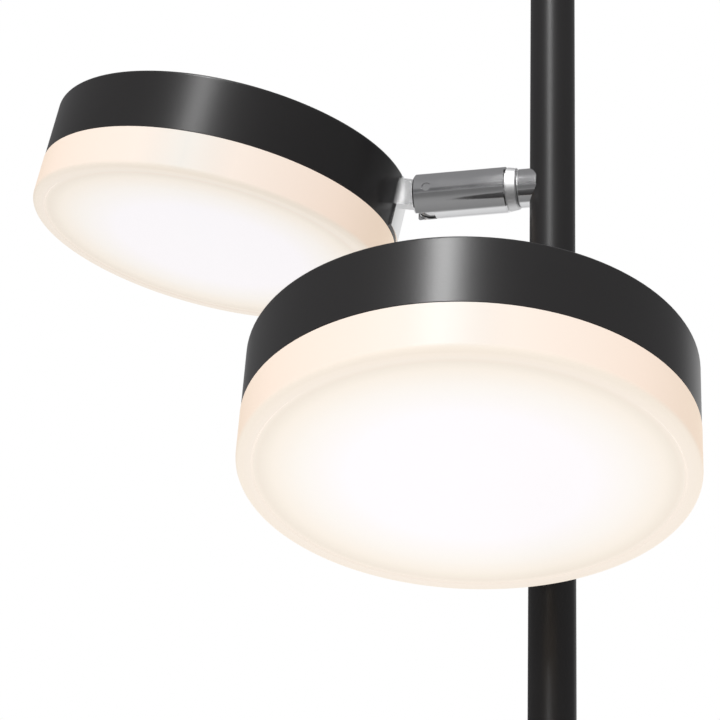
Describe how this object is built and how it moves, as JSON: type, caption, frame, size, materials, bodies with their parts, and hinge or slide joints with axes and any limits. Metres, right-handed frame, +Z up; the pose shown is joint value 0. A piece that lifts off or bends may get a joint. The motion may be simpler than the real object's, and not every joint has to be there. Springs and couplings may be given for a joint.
{
  "type": "tension pole lamp",
  "caption": "Floor-to-ceiling tension pole lamp with a sprung telescopic top and disc-shaped LED heads on short arms that swivel and tilt.",
  "frame": {"origin": "on the floor under the pole's axis, at the lower face of the floor pad", "axes": "+Z up along the pole towards the ceiling; the lower arm points along -Y and the upper arm along -X"},
  "size_m": [0.4103, 0.4105, 2.44],
  "materials": {
    "black_paint": "satin black powder coat",
    "chrome": "polished",
    "steel": "zinc plated",
    "plate_aluminium": "bare, white side down",
    "rubber": "matte",
    "nylon": "natural",
    "lead_sheath": "soft sheath",
    "led_phosphor": "phosphor",
    "driver_case": "moulded",
    "frosted_diffuser": "frosted acrylic, lit warm white from inside"
  },
  "bodies": {
    "pole": {"floor_pad": "rubber", "foot_cup": "black_paint", "foot_screw": "steel", "foot_plug": "steel", "cord_outlet": "rubber", "bottom_tube": "black_paint", "lower_joiner": "black_paint", "middle_tube": "black_paint", "middle_joiner": "black_paint", "head_tube": "black_paint", "upper_joiner": "black_paint", "top_tube": "black_paint", "guide_bush": "nylon", "collet": "nylon", "pole_lead": "lead_sheath", "lower_boss": "chrome", "lower_nipple": "steel", "lower_boss_nut": "steel", "lower_swivel_nut": "steel", "upper_boss": "chrome", "upper_nipple": "steel", "upper_boss_nut": "steel", "upper_swivel_nut": "steel"},
    "collar": {"twist_collar": "black_paint"},
    "extension": {"inner_tube": "chrome", "inner_slide_ring": "nylon", "spring_seat": "steel", "plunger_bush": "nylon", "tension_spring": "steel"},
    "plunger": {"plunger_rod": "chrome", "ceiling_screw": "steel", "ceiling_cup": "black_paint", "ceiling_pad": "rubber"},
    "lower_arm_link": {"lower_swivel_ring": "chrome", "lower_arm": "chrome", "lower_tilt_pin": "chrome", "lower_tilt_washers": "nylon"},
    "lower_head": {"lower_tongue": "chrome", "lower_tongue_screws": "steel", "lower_drum": "black_paint", "lower_led_plate": "plate_aluminium", "lower_led_chips": "led_phosphor", "lower_driver": "driver_case", "lower_plate_screws": "steel", "lower_diffuser": "frosted_diffuser"},
    "upper_arm_link": {"upper_swivel_ring": "chrome", "upper_arm": "chrome", "upper_tilt_pin": "chrome", "upper_tilt_washers": "nylon"},
    "upper_head": {"upper_tongue": "chrome", "upper_tongue_screws": "steel", "upper_drum": "black_paint", "upper_led_plate": "plate_aluminium", "upper_led_chips": "led_phosphor", "upper_driver": "driver_case", "upper_plate_screws": "steel", "upper_diffuser": "frosted_diffuser"}
  },
  "joints": [
    {"name": "collar_twist", "type": "hinge", "parent": "pole", "child": "collar", "pos_m": [0, 0, 2.23], "axis": [0, 0, 1], "range_deg": [0, 90]},
    {"name": "height_adjust", "type": "slide", "parent": "pole", "child": "extension", "axis": [0, 0, 1], "range_m": [0, 0.25]},
    {"name": "ceiling_plunger", "type": "slide", "parent": "extension", "child": "plunger", "axis": [0, 0, 1], "range_m": [-0.04, 0], "stiffness_N_per_m": 1500, "springref_m": 0.002, "deforming": ["tension_spring"]},
    {"name": "lower_swivel", "type": "hinge", "parent": "pole", "child": "lower_arm_link", "pos_m": [0, -0.025, 1.5], "axis": [0, -1, 0], "range_deg": [-91.8, 88.2]},
    {"name": "lower_tilt", "type": "hinge", "parent": "lower_arm_link", "child": "lower_head", "pos_m": [0, -0.07, 1.5], "axis": [-0.9995, 0, -0.0314], "range_deg": [-58.3, 41.7]},
    {"name": "upper_swivel", "type": "hinge", "parent": "pole", "child": "upper_arm_link", "pos_m": [-0.025, 0, 1.7205], "axis": [-1, 0, 0], "range_deg": [-91.8, 88.2]},
    {"name": "upper_tilt", "type": "hinge", "parent": "upper_arm_link", "child": "upper_head", "pos_m": [-0.07, 0, 1.7205], "axis": [0, 0.9995, -0.0314], "range_deg": [-56.2, 43.8]}
  ]
}
